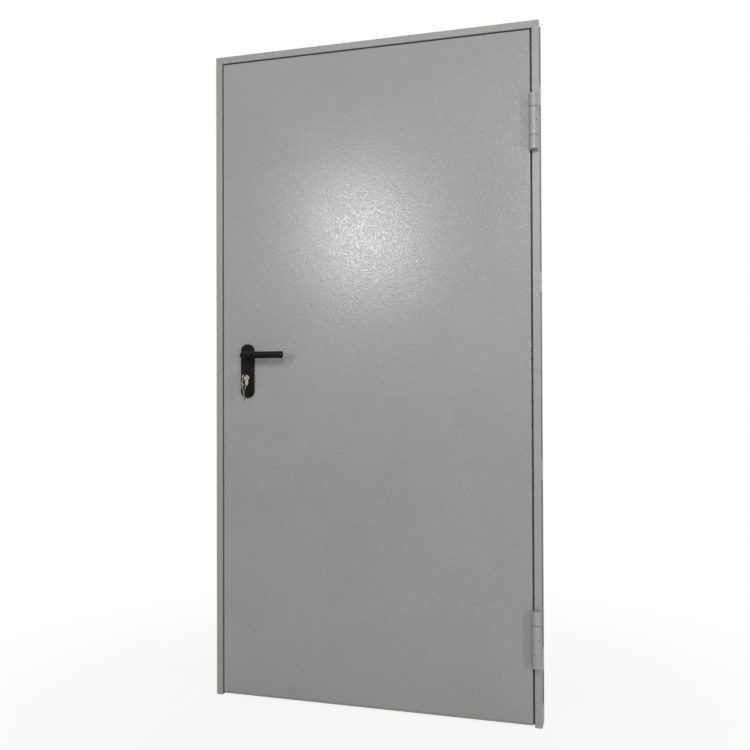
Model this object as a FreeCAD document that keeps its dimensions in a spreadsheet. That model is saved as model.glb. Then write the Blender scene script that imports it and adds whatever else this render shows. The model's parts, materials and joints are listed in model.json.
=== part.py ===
import FreeCAD, Part
import math
import os
import re

import Sketcher

# A single-leaf steel fire door in its three-sided pressed frame, closed, with millimetres as the unit.
# The origin is at floor level, in the middle of the frame's depth, on the wall side of the hinge jamb.
# X grows towards the wall beside the hinges, so the door lies at negative X. Y grows from the pull side,
# where the hinges and the keys are, to the push side. Z is up.

SIZES = (
    ("door_width", 1050, "overall width of the frame"),
    ("door_rise", 2090, "overall height of the frame, from the floor"),
    ("frame_depth", 66, "front face to rear face of the frame"),
    ("frame_face", 22, "width of the frame's front face"),
    ("rebate_depth", 30, "front face of the frame to its stop"),
    ("stop_width", 15, "width of the stop behind the leaf's lip"),
    ("frame_sheet", 2, "thickness of the frame's steel"),
    ("frame_bend", 2.5, "outer radius of the frame's folds"),
    ("wall_lip", 12, "length of the frame's two lips along the wall"),
    ("leaf_gap", 5, "gap between the frame and the leaf's lip"),
    ("floor_gap", 12, "gap between the floor and the leaf"),
    ("leaf_depth", 60, "front face to rear face of the leaf"),
    ("lip_depth", 22, "thickness of the lip round the leaf's front"),
    ("lip_reach", 17, "how far the lip stands out past the leaf's body"),
    ("leaf_sheet", 1, "thickness of the leaf's steel"),
    ("leaf_bend", 1.5, "outer radius of the leaf's folds"),
    ("gasket_thick", 3, "thickness of the gasket on the stop"),
    ("gasket_width", 13, "width of the gasket"),
    ("strip_thick", 2, "thickness of the swelling fire strips"),
    ("strip_width", 10, "width of the swelling fire strips"),
    ("strip_inset", 1, "fire strip to the rear face of the frame"),
    ("fixing_first", 195, "height of the lowest wall fixing"),
    ("fixing_drop", 215, "top of the frame down to the highest wall fixing"),
    ("fixing_below", 201, "forend's bottom down to the wall fixing under the lock"),
    ("fixing_above", 124, "forend's top up to the wall fixing over the lock"),
    ("head_fixing_inset", 260, "middle of the head to each of its fixings"),
    ("fixing_bore", 11, "hole for a wall fixing"),
    ("fixing_depth", 44, "front face to the wall fixings"),
    ("anchor_rise", 60, "height of an anchor plate"),
    ("anchor_plate", 3, "thickness of an anchor plate"),
    ("sleeve_width", 18, "outer diameter of an anchor's spacer sleeve"),
    ("hinge_inset", 15, "frame's outer edge to the hinge axis"),
    ("hinge_stand", 14, "hinge axis in front of the frame's face"),
    ("barrel_width", 27, "outer diameter of the hinge barrels"),
    ("hinge_rise", 166, "length of a hinge"),
    ("middle_rise", 83, "length of a hinge's middle knuckle"),
    ("knuckle_gap", 1, "gap between two knuckles"),
    ("knuckle_chamfer", 1.2, "chamfer at the knuckles' ends"),
    ("upper_hinge_drop", 305, "top of the frame down to the upper hinge's middle"),
    ("lower_hinge_z", 263, "height of the lower hinge's middle"),
    ("wing_thick", 3, "thickness of the hinge wings"),
    ("wing_reach", 20, "how far the wings run back beside the leaf's lip"),
    ("pin_width", 12, "diameter of the hinge pins"),
    ("pin_clearance", 0.05, "radial clearance round a hinge pin"),
    ("pin_recess", 4, "how far the pin's ends lie inside the barrel"),
    ("pin_socket", 6, "width across the flats of the socket in a pin"),
    ("socket_depth", 6, "depth of that socket"),
    ("spring_hole", 4.5, "diameter of the two setting holes in a middle knuckle"),
    ("bearing_play", 0.1, "play above the bearing ring"),
    ("bearing_width", 22, "outer diameter of the bearing ring"),
    ("dog_width", 12, "diameter of the dog bolts"),
    ("dog_reach", 11, "how far the dog bolts stand out of the leaf's edge"),
    ("dog_root", 20, "length of the dog bolts inside the leaf"),
    ("dog_low", 487, "height of the lower dog bolt"),
    ("dog_drop", 520, "top of the frame down to the upper dog bolt"),
    ("dog_clearance", 5.5, "clearance round a dog bolt in the jamb"),
    ("backset", 70, "leaf body's edge to the lever axis"),
    ("lever_z", 1106, "height of the lever axis"),
    ("lock_spacing", 72, "lever axis down to the cylinder axis"),
    ("forend_rise", 235, "height of the lock's forend"),
    ("forend_width", 20, "width of the lock's forend"),
    ("forend_thick", 3, "thickness of the lock's forend"),
    ("forend_top", 85, "lever axis up to the forend's top"),
    ("case_depth", 102, "length of the lock case behind its forend"),
    ("case_thick", 15, "thickness of the lock case"),
    ("case_top", 50, "lever axis up to the case's top"),
    ("case_rise", 165, "height of the lock case"),
    ("bolt_proud", 1, "how far the drawn-back bolts stand out"),
    ("latch_rise", 32, "height of the latch bolt"),
    ("latch_thick", 11, "thickness of the latch bolt"),
    ("latch_length", 40, "length of the latch bolt"),
    ("latch_above", 18, "lever axis down to the middle of the latch"),
    ("dead_rise", 34, "height of the dead bolt"),
    ("dead_thick", 10, "thickness of the dead bolt"),
    ("dead_length", 42, "length of the dead bolt"),
    ("dead_above", 8, "cylinder axis up to the middle of the dead bolt"),
    ("bolt_play", 0.3, "clearance round the two bolts in the case"),
    ("strike_rise", 200, "height of the strike plate"),
    ("strike_margin", 1.5, "strike hole past the bolt, on each side"),
    ("strike_box_depth", 24, "depth of the box behind the strike plate"),
    ("box_sheet", 1.5, "thickness of the strike box's steel"),
    ("plate_width", 45, "width of the long plates"),
    ("plate_rise", 174, "height of the long plates"),
    ("plate_thick", 9, "thickness of the long plates"),
    ("plate_top", 37, "lever axis up to the plate's top"),
    ("plate_round", 2.5, "rounding of the plates' front edges"),
    ("journal_width", 18, "diameter of the lever's journal"),
    ("journal_play", 0.4, "radial clearance of the journal in the plate"),
    ("lever_gap", 1, "gap between a lever and its plate"),
    ("grip_rise", 22, "height of the lever's oval section"),
    ("grip_thick", 16, "thickness of the lever's oval section"),
    ("grip_stand", 56, "leaf to the middle of the grip"),
    ("grip_length", 128, "lever axis to the start of the grip's turned end"),
    ("grip_bend", 12, "radius of the lever's bend"),
    ("tip_bend", 22, "radius of the grip's turned end"),
    ("tip_turn", 40, "angle of the grip's turned end, in degrees"),
    ("tip_round", 5.5, "rounding of the grip's end"),
    ("spindle_width", 9, "side of the square spindle"),
    ("spindle_play", 0.15, "clearance on each side of the spindle"),
    ("spindle_bite", 24, "how deep the spindle enters each lever"),
    ("follower_width", 19, "diameter of the lock's follower"),
    ("follower_play", 0.3, "radial clearance round the follower"),
    ("cylinder_width", 17, "diameter of the cylinder's round part"),
    ("cylinder_rise", 33, "height of the cylinder"),
    ("cylinder_web", 10, "width of the cylinder's lower part"),
    ("cylinder_proud", 3, "how far the cylinder stands out of the plates"),
    ("cylinder_play", 0.4, "clearance round the cylinder"),
    ("keyway_width", 2.8, "width of the keyway"),
    ("keyway_rise", 8.8, "height of the keyway"),
    ("keyway_depth", 32, "depth of the keyway"),
    ("key_thick", 2.4, "thickness of a key"),
    ("bow_width", 26, "diameter of a key's bow"),
    ("bow_hole", 16, "diameter of the hole in a key's bow"),
    ("bow_neck", 6, "length of the neck between a key's bow and blade"),
    ("neck_width", 10, "width of that neck"),
    ("blade_width", 8, "width of a key's blade"),
    ("blade_length", 24, "length of a key's blade"),
    ("ring_width", 17.8, "outer diameter of the key ring"),
    ("ring_wire", 1.8, "thickness of the key ring"),
    ("ring_play", 0.3, "clearance between the ring and the bows"),
    ("ring_turn", -5, "turn of the ring from the leaf's plane, in degrees"),
)

# Places and sizes worked out from the ones above.
PLACES = (
    ("front_y", "-frame_depth / 2", "front face of the frame and the leaf"),
    ("back_y", "frame_depth / 2", "rear face of the frame"),
    ("stop_y", "front_y + rebate_depth", "front of the stop"),
    ("lip_back_y", "front_y + lip_depth", "rear of the leaf's lip"),
    ("leaf_back_y", "front_y + leaf_depth", "rear face of the leaf"),
    ("lock_y", "(lip_back_y + leaf_back_y) / 2", "middle of the leaf body's edge"),
    ("fixing_y", "front_y + fixing_depth", "wall fixings"),
    ("upper_hinge_z", "door_rise - upper_hinge_drop", "height of the upper hinge's middle"),
    ("dog_high", "door_rise - dog_drop", "height of the upper dog bolt"),
    ("frame_reach", "frame_face + stop_width", "outer edge to the opening"),
    ("leaf_left", "-door_width + frame_face + leaf_gap", "lock edge of the lip"),
    ("leaf_right", "-frame_face - leaf_gap", "hinge edge of the lip"),
    ("leaf_top", "door_rise - frame_face - leaf_gap", "top edge of the lip"),
    ("body_left", "leaf_left + lip_reach", "lock edge of the leaf's body"),
    ("body_right", "leaf_right - lip_reach", "hinge edge of the leaf's body"),
    ("body_top", "leaf_top - lip_reach", "top edge of the leaf's body"),
    ("lock_x", "body_left + backset", "lever and cylinder axes"),
    ("cylinder_z", "lever_z - lock_spacing", "cylinder axis"),
    ("latch_z", "lever_z - latch_above", "middle of the latch bolt"),
    ("dead_z", "cylinder_z + dead_above", "middle of the dead bolt"),
    ("case_low", "lever_z + case_top - case_rise", "bottom of the lock case"),
    ("forend_low", "lever_z + forend_top - forend_rise", "bottom of the forend"),
    ("forend_z", "forend_low + forend_rise / 2", "middle of the forend"),
    ("fixing_second", "forend_low - fixing_below", "wall fixing under the lock"),
    ("fixing_third", "lever_z + forend_top + fixing_above", "wall fixing over the lock"),
    ("strike_x", "-door_width + frame_reach", "face of the strike plate"),
    ("strike_front_y", "stop_y + frame_sheet", "front edge of the strike plate, behind the stop"),
    ("strike_back_y", "2 * lock_y - strike_front_y", "rear edge of the strike plate"),
    ("strike_low", "forend_z - strike_rise / 2", "bottom of the strike plate"),
    ("strike_high", "forend_z + strike_rise / 2", "top of the strike plate"),
    ("hinge_x", "-hinge_inset", "hinge axis"),
    ("hinge_y", "front_y - hinge_stand", "hinge axis"),
    ("bore_width", "pin_width + 2 * pin_clearance", "bore of the knuckles"),
    ("plate_low", "lever_z + plate_top - plate_rise", "bottom of the long plates"),
    ("key_y", "front_y - plate_thick - cylinder_proud", "face of the cylinder"),
    ("bow_offset", "bow_neck + bow_width / 2", "key's shoulder to its bow's middle"),
    ("ring_radius", "(ring_width - ring_wire) / 2", "radius of the ring's middle line"),
    ("ring_y", "key_y - bow_offset", "where the ring hangs"),
    ("ring_top", "cylinder_z - bow_hole / 2 + ring_wire / 2 + ring_play", "ring in the bow"),
    ("spare_top", "ring_top - 2 * ring_radius + ring_wire / 2 + ring_play", "spare bow's hole"),
)

doc = FreeCAD.newDocument("fire_door")
nodes = []
features = []


def fill_sheet(name, rows):
    """A spreadsheet with one aliased value a row, and beside it what the value is."""
    sheet = doc.addObject("Spreadsheet::Sheet", name)
    for row, (alias, content, meaning) in enumerate(rows, start=1):
        sheet.set(f"A{row}", meaning)
        sheet.set(f"B{row}", str(content))
        sheet.setAlias(f"B{row}", alias)
    return sheet


def on_sheets(text):
    """An expression on the two sheets, from one that names their values alone."""
    def place(word):
        for name, rows in (("Sizes", SIZES), ("Places", PLACES)):
            if any(word.group() == row[0] for row in rows):
                return f"{name}.{word.group()}"
        return word.group()
    return re.sub(r"[a-z_]+", place, text)


sizes = fill_sheet("Sizes", SIZES)
places = fill_sheet("Places", [(alias, "=" + on_sheets(rule).replace("Places.", ""), meaning)
                               for alias, rule, meaning in PLACES])
doc.recompute()


def bind(thing, **rules):
    """Ties properties of one object to expressions; a double underscore stands for a dot."""
    for name, rule in rules.items():
        thing.setExpression(name.replace("__", "."), on_sheets(rule))
    return thing


def put(thing, x="0", y="0", z="0"):
    """Ties an object's place to expressions."""
    return bind(thing, Placement__Base__x=x, Placement__Base__y=y, Placement__Base__z=z)


def keep(thing, name):
    """Marks an object as one sub-part of the door, under its own name."""
    thing.Label = name
    nodes.append(thing)
    return thing


def body(name):
    return doc.addObject("PartDesign::Body", "Body_" + name)


def sketch_on(owner, plane, level):
    """An empty sketch on one of a body's own planes, moved along that plane's world axis."""
    sketch = owner.newObject("Sketcher::SketchObject", "Sketch")
    support = next(f for f in owner.Origin.OriginFeatures if f.Role == plane + "_Plane")
    sketch.AttachmentSupport = [(support, "")]
    sketch.MapMode = "FlatFace"
    # the normal of the XZ plane points along -Y
    bind(sketch, AttachmentOffset__Base__z=f"-({level})" if plane == "XZ" else level)
    return sketch


def limit(sketch, kind, geometry, point, start, rule):
    """Ties the distance of a sketched point from the sketch's origin to an expression."""
    number = sketch.addConstraint(Sketcher.Constraint(kind, -1, 1, geometry, point, start))
    sketch.setExpression(f"Constraints[{number}]", on_sheets(rule))


def polygon(owner, plane, level, *outlines):
    """Closed outlines of straight lines. Each corner starts on a ring and is tied to its place."""
    sketch = sketch_on(owner, plane, level)
    for corners in outlines:
        first = sketch.GeometryCount
        turn = 2 * math.pi / len(corners)
        ring = [FreeCAD.Vector(math.cos(i * turn), math.sin(i * turn), 0) for i in range(len(corners))]
        for start, end in zip(ring, ring[1:] + ring[:1]):
            sketch.addGeometry(Part.LineSegment(start, end), False)
        for i, (across, up) in enumerate(corners):
            after = first + (i + 1) % len(corners)
            sketch.addConstraint(Sketcher.Constraint("Coincident", first + i, 2, after, 1))
            limit(sketch, "DistanceX", first + i, 1, ring[i].x, across)
            limit(sketch, "DistanceY", first + i, 1, ring[i].y, up)
    return sketch


def box_outline(left, right, low, high):
    return (left, low), (right, low), (right, high), (left, high)


def bolt_outline(middle, rise, thick, play="0"):
    """The outline of a lock bolt in the leaf's edge, with some clearance all round."""
    return box_outline(f"lock_y - {thick} / 2 - {play}", f"lock_y + {thick} / 2 + {play}",
                       f"{middle} - {rise} / 2 - {play}", f"{middle} + {rise} / 2 + {play}")


def circle(owner, plane, level, across, up, width):
    """A circle tied to the place of its middle and to its diameter."""
    sketch = sketch_on(owner, plane, level)
    sketch.addGeometry(Part.Circle(FreeCAD.Vector(1, 1, 0), FreeCAD.Vector(0, 0, 1), 1), False)
    limit(sketch, "DistanceX", 0, 3, 1, across)
    limit(sketch, "DistanceY", 0, 3, 1, up)
    number = sketch.addConstraint(Sketcher.Constraint("Diameter", 0, 2))
    sketch.setExpression(f"Constraints[{number}]", on_sheets(width))
    return sketch


def stadium(owner, plane, level, across, low, high, width):
    """An upright outline with two round ends, tied to its middle line, its ends and its width."""
    sketch = sketch_on(owner, plane, level)
    up, out = FreeCAD.Vector(0, 2, 0), FreeCAD.Vector(0, 0, 1)
    sketch.addGeometry(Part.ArcOfCircle(Part.Circle(up, out, 1), 0, math.pi), False)
    sketch.addGeometry(Part.ArcOfCircle(Part.Circle(-up, out, 1), math.pi, 2 * math.pi), False)
    sketch.addGeometry(Part.LineSegment(FreeCAD.Vector(-1, 2, 0), FreeCAD.Vector(-1, -2, 0)), False)
    sketch.addGeometry(Part.LineSegment(FreeCAD.Vector(1, -2, 0), FreeCAD.Vector(1, 2, 0)), False)
    for joint in ((0, 2, 2, 1), (2, 2, 1, 1), (1, 2, 3, 1), (3, 2, 0, 1)):
        sketch.addConstraint(Sketcher.Constraint("Tangent", *joint))
    sketch.addConstraint(Sketcher.Constraint("Equal", 0, 1))
    limit(sketch, "DistanceX", 0, 3, 0, across)
    limit(sketch, "DistanceX", 1, 3, 0, across)
    limit(sketch, "DistanceY", 0, 3, 2, f"{high} - ({width}) / 2")
    limit(sketch, "DistanceY", 1, 3, -2, f"{low} + ({width}) / 2")
    number = sketch.addConstraint(Sketcher.Constraint("Diameter", 0, 2))
    sketch.setExpression(f"Constraints[{number}]", on_sheets(width))
    return sketch


def feature(kind, owner, sketch, length):
    """A pad or pocket that runs from its sketch along the positive world axis."""
    made = owner.newObject("PartDesign::" + kind, kind)
    made.Profile = sketch
    made.Reversed = (kind == "Pad") == ("XZ_Plane" == sketch.AttachmentSupport[0][0].Role)
    bind(made, Length=length)
    features.append(made)
    return made


def pad(owner, sketch, length):
    return feature("Pad", owner, sketch, length)


def pocket(owner, sketch, length):
    return feature("Pocket", owner, sketch, length)


def dress(kind, owner, size, chosen):
    """A fillet or chamfer on those edges of a body's last shape that the test picks."""
    doc.recompute()
    base = owner.Tip
    edges = [f"Edge{i}" for i, edge in enumerate(base.Shape.Edges, start=1) if chosen(edge)]
    made = owner.newObject("PartDesign::" + kind, kind)
    made.Base = (base, edges)
    bind(made, **{"Radius" if kind == "Fillet" else "Size": size})
    features.append(made)
    return made


def round_folds(owner, along):
    """Rounds the frame's long folds along one axis, apart from the one that turns inward."""
    doc.recompute()
    shape = owner.Tip.Shape

    def outward(edge):
        if getattr(edge.BoundBox, along + "Length") < sizes.frame_depth * 2:
            return False
        sides = [(a, b) for a in (-1, 1) for b in (-1, 1)]
        steps = [FreeCAD.Vector(a, b, 0) if along == "Z" else FreeCAD.Vector(0, a, b) for a, b in sides]
        return sum(shape.isInside(edge.BoundBox.Center + step, 0.01, True) for step in steps) < 2
    dress("Fillet", owner, "frame_bend", outward)


def solid(kind, **rules):
    """A Part primitive whose sizes are tied to expressions."""
    return bind(doc.addObject("Part::" + kind, kind), **rules)


def fuse(shapes):
    made = doc.addObject("Part::MultiFuse", "Fuse")
    made.Shapes = shapes
    return made


def cut(base, *tools):
    made = doc.addObject("Part::Cut", "Cut")
    made.Base = base
    made.Tool = tools[0] if len(tools) == 1 else fuse(list(tools))
    return made


def together(name, things):
    """Like pieces in one sub-part, as solids that don't touch."""
    made = doc.addObject("Part::Compound", "Compound")
    made.Links = things
    return keep(made, name)


def block(left, right, front, back, low, high):
    """A box between six tied places."""
    made = solid("Box", Length=f"{right} - ({left})", Width=f"{back} - ({front})", Height=f"{high} - ({low})")
    return put(made, left, front, low)


def rod(axis, x, y, z, width, length):
    """A cylinder that runs from a tied place along X, Y or Z."""
    made = solid("Cylinder", Radius=f"({width}) / 2", Height=length)
    turns = {"X": ((0, 1, 0), 90), "Y": ((-1, 0, 0), 90), "Z": ((0, 0, 1), 0)}
    direction, angle = turns[axis]
    made.Placement.Rotation = FreeCAD.Rotation(FreeCAD.Vector(*direction), angle)
    return put(made, x, y, z)


# The frame

FIXING_HEIGHTS = ("fixing_first", "fixing_second", "fixing_third", "door_rise - fixing_drop")


def section(across, up_is_second=False):
    """The frame's outer section and the hollow that leaves its sheet, from a rule for the inward reach."""
    def corner(inward, deep):
        return (deep, across(inward)) if up_is_second else (across(inward), deep)
    outer = [corner("0", "front_y"), corner("frame_face", "front_y"), corner("frame_face", "stop_y"),
             corner("frame_reach", "stop_y"), corner("frame_reach", "back_y"), corner("0", "back_y")]
    hollow = [corner("0", "front_y + wall_lip"), corner("frame_sheet", "front_y + wall_lip"),
              corner("frame_sheet", "front_y + frame_sheet"),
              corner("frame_face - frame_sheet", "front_y + frame_sheet"),
              corner("frame_face - frame_sheet", "stop_y + frame_sheet"),
              corner("frame_reach - frame_sheet", "stop_y + frame_sheet"),
              corner("frame_reach - frame_sheet", "back_y - frame_sheet"),
              corner("frame_sheet", "back_y - frame_sheet"),
              corner("frame_sheet", "back_y - wall_lip"), corner("0", "back_y - wall_lip")]
    return outer, hollow


def jamb(name, across):
    """One upright of the frame, a pressed sheet with two steps, mitred at its head."""
    piece = body(name)
    outer, hollow = section(across)
    pad(piece, polygon(piece, "XY", "0", outer), "door_rise")
    round_folds(piece, "Z")
    pocket(piece, polygon(piece, "XY", "0", hollow), "door_rise")
    mitre = [(across("0"), "door_rise"), (across("frame_reach"), "door_rise - frame_reach"),
             (across("frame_reach"), "door_rise")]
    pocket(piece, polygon(piece, "XZ", "front_y", mitre), "frame_depth")
    start = f"{across('frame_reach')} - frame_sheet - leaf_gap"
    for height in FIXING_HEIGHTS:
        pocket(piece, circle(piece, "YZ", start, "fixing_y", height, "fixing_bore"),
               "2 * (frame_sheet + leaf_gap)")
    return keep(piece, name), start


def from_lock_side(inward):
    return f"-door_width + ({inward})"


def from_hinge_side(inward):
    return f"-({inward})"


def from_head(inward):
    return f"door_rise - ({inward})"


def lock_jamb():
    piece, start = jamb("lock_jamb", from_lock_side)
    hole = box_outline("strike_front_y", "strike_back_y", "strike_low", "strike_high")
    pocket(piece, polygon(piece, "YZ", start, hole), "2 * (frame_sheet + leaf_gap)")


def hinge_jamb():
    piece, start = jamb("hinge_jamb", from_hinge_side)
    for height in ("dog_low", "dog_high"):
        hole = circle(piece, "YZ", start, "lock_y", height, "dog_width + 2 * dog_clearance")
        pocket(piece, hole, "2 * (frame_sheet + leaf_gap)")


def frame_head():
    """The head of the frame, the same section on its side, mitred at both ends."""
    piece = body("frame_head")
    outer, hollow = section(from_head, up_is_second=True)
    pad(piece, polygon(piece, "YZ", "-door_width", outer), "door_width")
    round_folds(piece, "X")
    pocket(piece, polygon(piece, "YZ", "-door_width", hollow), "door_width")
    for across in (from_lock_side, from_hinge_side):
        mitre = [(across("0"), "door_rise"), (across("frame_reach"), "door_rise - frame_reach"),
                 (across("0"), "door_rise - frame_reach")]
        pocket(piece, polygon(piece, "XZ", "front_y", mitre), "frame_depth")
    for side in ("-", "+"):
        hole = circle(piece, "XY", "door_rise - frame_reach - leaf_gap",
                      f"-door_width / 2 {side} head_fixing_inset", "fixing_y", "fixing_bore")
        pocket(piece, hole, "frame_sheet + 2 * leaf_gap")
    keep(piece, "frame_head")


def side_anchor(wall, direction, height):
    """A wall plate between the jamb's lips, with a sleeve that carries the fixing through the jamb."""
    inner = f"{wall} {direction} anchor_plate"
    reach = f"{wall} {direction} (frame_reach - frame_sheet)"
    left, right = (wall, inner) if direction == "+" else (inner, wall)
    plate = block(left, right, "front_y + wall_lip", "back_y - wall_lip",
                  f"{height} - anchor_rise / 2", f"{height} + anchor_rise / 2")
    sleeve = rod("X", wall if direction == "+" else reach, "fixing_y", height,
                 "sleeve_width", "frame_reach - frame_sheet")
    bore = rod("X", f"({wall}) - frame_reach", "fixing_y", height, "fixing_bore", "2 * frame_reach")
    return cut(fuse([plate, sleeve]), bore)


def foot_anchor(wall, direction):
    """A wall plate between the jamb's lips at the floor."""
    inner = f"{wall} {direction} anchor_plate"
    left, right = (wall, inner) if direction == "+" else (inner, wall)
    return block(left, right, "front_y + wall_lip", "back_y - wall_lip", "0", "anchor_rise")


def jamb_anchors():
    for name, wall, direction in (("lock_side_anchors", "-door_width", "+"), ("hinge_side_anchors", "0", "-")):
        uprights = [side_anchor(wall, direction, height) for height in FIXING_HEIGHTS]
        together(name, [foot_anchor(wall, direction)] + uprights)


def head_anchors():
    made = []
    for side in ("-", "+"):
        middle = f"-door_width / 2 {side} head_fixing_inset"
        plate = block(f"{middle} - anchor_rise / 2", f"{middle} + anchor_rise / 2",
                      "front_y + wall_lip", "back_y - wall_lip", "door_rise - anchor_plate", "door_rise")
        sleeve = rod("Z", middle, "fixing_y", "door_rise - frame_reach + frame_sheet",
                     "sleeve_width", "frame_reach - frame_sheet")
        bore = rod("Z", middle, "fixing_y", "door_rise - 2 * frame_reach", "fixing_bore", "3 * frame_reach")
        made.append(cut(fuse([plate, sleeve]), bore))
    together("head_anchors", made)


def seals():
    """The black gasket on the stop, and the fire strips beside the leaf's edge, each in three lengths."""
    deep = "stop_y - gasket_thick", "stop_y"
    left, right = "-door_width + frame_face", "-frame_face"
    low = "door_rise - frame_face - gasket_width"
    keep(block(left, f"{left} + gasket_width", *deep, "0", low), "lock_side_gasket")
    keep(block(f"{right} - gasket_width", right, *deep, "0", low), "hinge_side_gasket")
    keep(block(left, right, *deep, low, "door_rise - frame_face"), "head_gasket")
    deep = "back_y - strip_inset - strip_width", "back_y - strip_inset"
    left, right = "-door_width + frame_reach", "-frame_reach"
    low = "door_rise - frame_reach - strip_thick"
    keep(block(left, f"{left} + strip_thick", *deep, "0", low), "lock_side_fire_strip")
    keep(block(f"{right} - strip_thick", right, *deep, "0", low), "hinge_side_fire_strip")
    keep(block(left, right, *deep, low, "door_rise - frame_reach"), "head_fire_strip")


def strike():
    """The strike plate let into the lock jamb, and the box behind it that takes the two bolts."""
    plate = body("strike_plate")
    outline = box_outline("strike_front_y", "strike_back_y", "strike_low", "strike_high")
    holes = [bolt_outline("latch_z", "latch_rise", "latch_thick", "strike_margin"),
             bolt_outline("dead_z", "dead_rise", "dead_thick", "strike_margin")]
    pad(plate, polygon(plate, "YZ", "strike_x - frame_sheet", outline, *holes), "frame_sheet")
    keep(plate, "strike_plate")

    box = body("strike_box")
    outer = "strike_x - frame_sheet - strike_box_depth"
    pad(box, polygon(box, "YZ", outer, outline), "strike_box_depth")
    inner = box_outline("strike_front_y + box_sheet", "strike_back_y - box_sheet",
                        "strike_low + box_sheet", "strike_high - box_sheet")
    pocket(box, polygon(box, "YZ", f"{outer} + box_sheet", inner), "strike_box_depth")
    keep(box, "strike_box")


# The hinges

def knuckle(low, rise, wing_left):
    """A barrel with the wing that is welded beside the gap, and the bore for the pin."""
    barrel = rod("Z", "hinge_x", "hinge_y", low, "barrel_width", rise)
    chamfered = doc.addObject("Part::Chamfer", "Chamfer")
    chamfered.Base = barrel
    doc.recompute()
    ends = [i for i, edge in enumerate(barrel.Shape.Edges, start=1) if isinstance(edge.Curve, Part.Circle)]
    chamfered.Edges = [(i, sizes.knuckle_chamfer, sizes.knuckle_chamfer) for i in ends]
    wing = block(wing_left, f"{wing_left} + wing_thick", "hinge_y", "front_y + wing_reach",
                 f"{low} + knuckle_chamfer", f"{low} + {rise} - knuckle_chamfer")
    bore = rod("Z", "hinge_x", "hinge_y", f"{low} - {rise}", "bore_width", f"3 * ({rise})")
    return chamfered, wing, bore


def hinge(name, middle):
    """A three-knuckle hinge: outer knuckles on the frame, the middle one on the leaf, pin and bearing ring."""
    outer_rise = "(hinge_rise - middle_rise - 2 * knuckle_gap) / 2"
    low = f"{middle} - hinge_rise / 2"
    lower_joint = f"{low} + {outer_rise}"
    upper_low = f"{middle} + middle_rise / 2 + knuckle_gap"
    frame_wing = "-frame_face - wing_thick"
    outer = []
    for start in (low, upper_low):
        barrel, wing, bore = knuckle(start, outer_rise, frame_wing)
        outer.append(cut(fuse([barrel, wing]), bore))
    together(name + "_frame_knuckles", outer)

    barrel, wing, bore = knuckle(f"{middle} - middle_rise / 2", "middle_rise", "leaf_right")
    holes = []
    for angle in (-42, 42):
        hole = solid("Cylinder", Radius="spring_hole / 2", Height="barrel_width")
        hole.Placement.Rotation = FreeCAD.Rotation(FreeCAD.Vector(math.cos(math.radians(angle)),
                                                                  math.sin(math.radians(angle)), 0), 90)
        holes.append(put(hole, "hinge_x", "hinge_y", middle))
    keep(cut(fuse([barrel, wing]), bore, *holes), name + "_leaf_knuckle")

    pin = body(name + "_pin")
    pin_low, pin_rise = f"{low} + pin_recess", "hinge_rise - 2 * pin_recess"
    pad(pin, circle(pin, "XY", pin_low, "hinge_x", "hinge_y", "pin_width"), pin_rise)
    corner = "pin_socket / 2 / cos(30 deg)"
    hexagon = [(f"hinge_x + {corner} * cos({60 * i} deg)", f"hinge_y + {corner} * sin({60 * i} deg)")
               for i in range(6)]
    pocket(pin, polygon(pin, "XY", f"{pin_low} + {pin_rise} - socket_depth", hexagon), "2 * socket_depth")
    keep(pin, name + "_pin")

    ring = rod("Z", "hinge_x", "hinge_y", lower_joint, "bearing_width", "knuckle_gap - bearing_play")
    bore = rod("Z", "hinge_x", "hinge_y", low, "bore_width", "hinge_rise")
    keep(cut(ring, bore), name + "_bearing")


# The leaf

def spindle_hole(owner, front, length, width):
    pocket(owner, circle(owner, "XZ", front, "lock_x", "lever_z", width), length)


def cylinder_outline(owner, front, length, cutting, play="0"):
    """The round and the narrow part of the lock cylinder, padded or cut with some clearance."""
    make = pocket if cutting else pad
    make(owner, circle(owner, "XZ", front, "lock_x", "cylinder_z", f"cylinder_width + 2 * {play}"), length)
    make(owner, stadium(owner, "XZ", front, "lock_x",
                        f"cylinder_z + cylinder_width / 2 - cylinder_rise - {play}", "cylinder_z",
                        f"cylinder_web + 2 * {play}"), length)


def leaf_front_tray():
    """The front sheet folded back into a lip, which turns in to the leaf's body at its sides and top."""
    tray = body("leaf_front_tray")
    pad(tray, polygon(tray, "XZ", "front_y", box_outline("leaf_left", "leaf_right", "floor_gap", "leaf_top")),
        "lip_depth")
    dress("Fillet", tray, "leaf_bend", lambda edge: edge.BoundBox.YLength < 0.01)
    hollow = box_outline("leaf_left + leaf_sheet", "leaf_right - leaf_sheet",
                         "floor_gap + leaf_sheet", "leaf_top - leaf_sheet")
    pocket(tray, polygon(tray, "XZ", "front_y + leaf_sheet", hollow), "lip_depth - 2 * leaf_sheet")
    inside = box_outline("body_left + leaf_sheet", "body_right - leaf_sheet",
                         "floor_gap + leaf_sheet", "body_top - leaf_sheet")
    pocket(tray, polygon(tray, "XZ", "lip_back_y - 2 * leaf_sheet", inside), "3 * leaf_sheet")
    spindle_hole(tray, "front_y - leaf_sheet", "3 * leaf_sheet", "journal_width + 2 * journal_play")
    cylinder_outline(tray, "front_y - leaf_sheet", "3 * leaf_sheet", True, "cylinder_play")
    keep(tray, "leaf_front_tray")


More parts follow.
